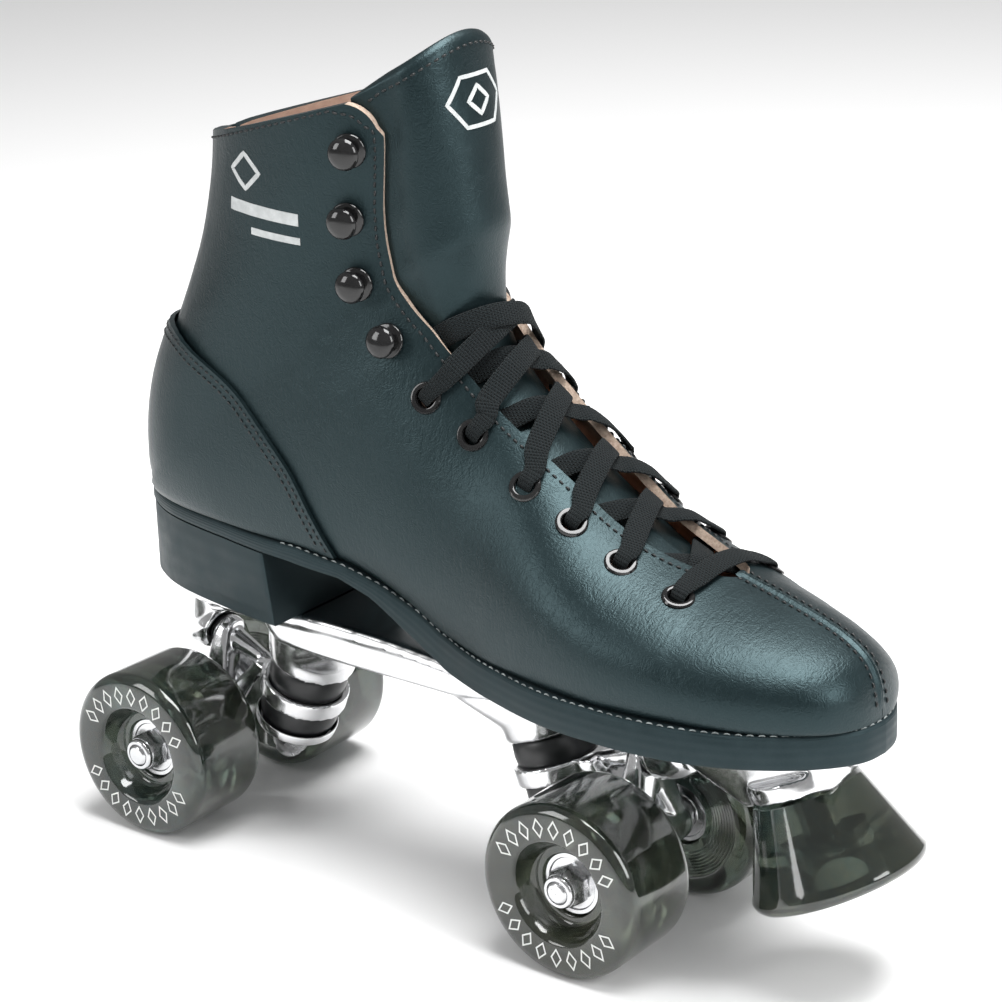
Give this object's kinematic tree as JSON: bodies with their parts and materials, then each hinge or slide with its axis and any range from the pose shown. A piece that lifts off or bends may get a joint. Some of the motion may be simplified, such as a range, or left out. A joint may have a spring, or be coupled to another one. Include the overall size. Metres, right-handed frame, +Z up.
{
  "type": "quad roller skate",
  "caption": "Lace-up leather boot on a cast plate with two steering trucks, wheels on ball bearings and a front stop.",
  "frame": {"origin": "on the ground, at the middle of the outside box's base", "axes": "+X towards the toe, +Y towards the outer side of the foot, +Z up"},
  "size_m": [0.3212, 0.1072, 0.298],
  "materials": {
    "boot_leather": "smooth black, half gloss, fine flex creases over the vamp",
    "lining": "suede side of the lining, pinkish tan",
    "sole_rubber": "matte charcoal, fine lines along the edge",
    "polished_alloy": "cast and polished bright",
    "chrome_plate": "plated bright",
    "steel": "turned and zinc plated",
    "black_plastic": "moulded black",
    "cushion_rubber": "moulded black, satin",
    "urethane": "cast urethane, smoky and slightly see-through, glossy",
    "black_enamel": "black enamel, glossy",
    "lace_cord": "flat braid, matte black"
  },
  "bodies": {
    "boot_and_plate": {"upper_right": "boot_leather", "upper_left": "boot_leather", "heel_counter": "boot_leather", "back_stay": "boot_leather", "tongue": "boot_leather", "insole": "lining", "outsole": "sole_rubber", "heel_block": "sole_rubber", "plate": "polished_alloy", "mount_screw_rear_right": "steel", "mount_screw_rear_left": "steel", "mount_screw_front_right": "steel", "mount_screw_front_left": "steel", "pivot_cup_front": "black_plastic", "cushion_upper_front": "cushion_rubber", "cushion_lower_front": "cushion_rubber", "retainer_front": "chrome_plate", "kingpin_front": "steel", "kingpin_nut_front": "steel", "pivot_cup_rear": "black_plastic", "cushion_upper_rear": "cushion_rubber", "cushion_lower_rear": "cushion_rubber", "retainer_rear": "chrome_plate", "kingpin_rear": "steel", "kingpin_nut_rear": "steel", "toe_stop": "urethane", "toe_stop_bolt": "steel", "toe_stop_washer": "steel", "hook_right_1": "black_enamel", "hook_right_2": "black_enamel", "hook_right_3": "black_enamel", "hook_right_4": "black_enamel", "hook_left_1": "black_enamel", "hook_left_2": "black_enamel", "hook_left_3": "black_enamel", "hook_left_4": "black_enamel", "lace": "lace_cord"},
    "front_truck": {"hanger_front": "polished_alloy", "axle_front": "steel", "axle_nut_front_right": "steel", "axle_nut_front_left": "steel"},
    "rear_truck": {"hanger_rear": "polished_alloy", "axle_rear": "steel", "axle_nut_rear_right": "steel", "axle_nut_rear_left": "steel"},
    "wheel_front_right_body": {"wheel_front_right": "urethane", "bearing_outer_front_right": "steel", "bearing_inner_front_right": "steel"},
    "wheel_front_left_body": {"wheel_front_left": "urethane", "bearing_outer_front_left": "steel", "bearing_inner_front_left": "steel"},
    "wheel_rear_right_body": {"wheel_rear_right": "urethane", "bearing_outer_rear_right": "steel", "bearing_inner_rear_right": "steel"},
    "wheel_rear_left_body": {"wheel_rear_left": "urethane", "bearing_outer_rear_left": "steel", "bearing_inner_rear_left": "steel"}
  },
  "joints": [
    {"name": "front_truck_steer", "type": "hinge", "parent": "boot_and_plate", "child": "front_truck", "pos_m": [0.02216, 0.00055, 0.0476], "axis": [0.9397, 0, 0.342], "range_deg": [-8, 8], "stiffness_Nm_per_rad": 30, "deforming": ["cushion_upper_front", "cushion_lower_front"]},
    {"name": "rear_truck_steer", "type": "hinge", "parent": "boot_and_plate", "child": "rear_truck", "pos_m": [-0.09384, 0.00055, 0.0476], "axis": [-0.9397, 0, 0.342], "range_deg": [-8, 8], "stiffness_Nm_per_rad": 30, "deforming": ["cushion_upper_rear", "cushion_lower_rear"]},
    {"name": "front_right_wheel_spin", "type": "hinge", "parent": "front_truck", "child": "wheel_front_right_body", "pos_m": [0.05816, -0.03505, 0.031], "axis": [0, 1, 0], "continuous": true},
    {"name": "front_left_wheel_spin", "type": "hinge", "parent": "front_truck", "child": "wheel_front_left_body", "pos_m": [0.05816, 0.03615, 0.031], "axis": [0, 1, 0], "continuous": true},
    {"name": "rear_right_wheel_spin", "type": "hinge", "parent": "rear_truck", "child": "wheel_rear_right_body", "pos_m": [-0.12984, -0.03505, 0.031], "axis": [0, 1, 0], "continuous": true},
    {"name": "rear_left_wheel_spin", "type": "hinge", "parent": "rear_truck", "child": "wheel_rear_left_body", "pos_m": [-0.12984, 0.03615, 0.031], "axis": [0, 1, 0], "continuous": true}
  ]
}
